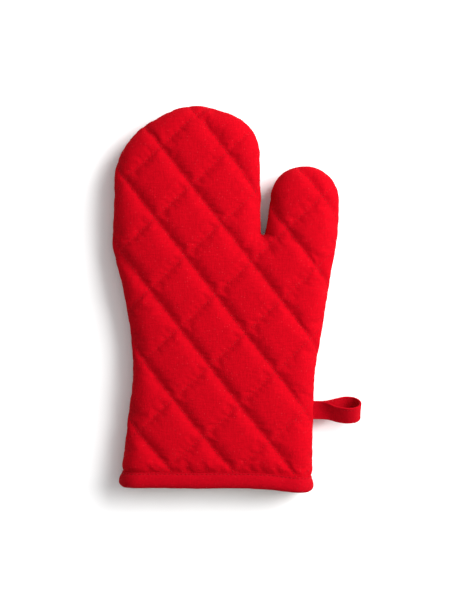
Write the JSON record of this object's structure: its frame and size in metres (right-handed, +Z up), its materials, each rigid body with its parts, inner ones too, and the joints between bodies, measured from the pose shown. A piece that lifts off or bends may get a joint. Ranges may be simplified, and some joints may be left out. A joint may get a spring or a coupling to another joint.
{
  "type": "oven mitt",
  "caption": "Quilted padded oven mitt with one thumb, bound cuff and a tape hanging loop; fingers, thumb and loop fold.",
  "frame": {"origin": "under the middle of the box of the whole mitt, on the surface that it lies on", "axes": "+Y from the cuff to the fingertips, +X towards the thumb, +Z up out of the palm"},
  "size_m": [0.1936, 0.3, 0.03],
  "materials": {
    "cover_canvas": "quilted matt cotton canvas",
    "wadding_felt": "needle-punched felt wadding",
    "lining_cotton": "plain woven cotton",
    "lining_thread": "spun thread",
    "cover_thread": "spun polyester thread",
    "binding_tape": "folded cotton bias tape",
    "loop_tape": "folded cotton bias tape"
  },
  "bodies": {
    "hand": {"back_bobbin_rows_hand": "lining_thread", "back_cover_hand": "cover_canvas", "back_lining_hand": "lining_cotton", "back_quilting_hand": "cover_thread", "back_wadding_hand": "wadding_felt", "binding_stitching": "cover_thread", "closing_seam_hand": "cover_thread", "cuff_binding": "binding_tape", "front_bobbin_rows_hand": "lining_thread", "front_cover_hand": "cover_canvas", "front_lining_hand": "lining_cotton", "front_quilting_hand": "cover_thread", "front_wadding_hand": "wadding_felt", "loop_tack": "lining_thread", "loop_tail": "loop_tape"},
    "fingers": {"back_bobbin_rows_fingers": "lining_thread", "back_cover_fingers": "cover_canvas", "back_lining_fingers": "lining_cotton", "back_quilting_fingers": "cover_thread", "back_wadding_fingers": "wadding_felt", "closing_seam_fingers": "cover_thread", "front_bobbin_rows_fingers": "lining_thread", "front_cover_fingers": "cover_canvas", "front_lining_fingers": "lining_cotton", "front_quilting_fingers": "cover_thread", "front_wadding_fingers": "wadding_felt"},
    "thumb": {"back_bobbin_rows_thumb": "lining_thread", "back_cover_thumb": "cover_canvas", "back_lining_thumb": "lining_cotton", "back_quilting_thumb": "cover_thread", "back_wadding_thumb": "wadding_felt", "closing_seam_thumb": "cover_thread", "front_bobbin_rows_thumb": "lining_thread", "front_cover_thumb": "cover_canvas", "front_lining_thumb": "lining_cotton", "front_quilting_thumb": "cover_thread", "front_wadding_thumb": "wadding_felt"},
    "loop": {"hanging_loop": "loop_tape", "loop_stitching": "cover_thread"}
  },
  "joints": [
    {"name": "fingers_fold", "type": "hinge", "parent": "hand", "child": "fingers", "pos_m": [0, 0.058, 0.03], "axis": [1, 0, 0], "range_deg": [0, 60]},
    {"name": "thumb_fold", "type": "hinge", "parent": "hand", "child": "thumb", "pos_m": [0.0225, 0.06, 0.03], "axis": [0.6428, -0.766, 0], "range_deg": [0, 40]},
    {"name": "loop_swing", "type": "hinge", "parent": "hand", "child": "loop", "pos_m": [0.0623, -0.0864, 0.015], "axis": [0, -0.8829, -0.4695], "range_deg": [-60, 60]}
  ]
}
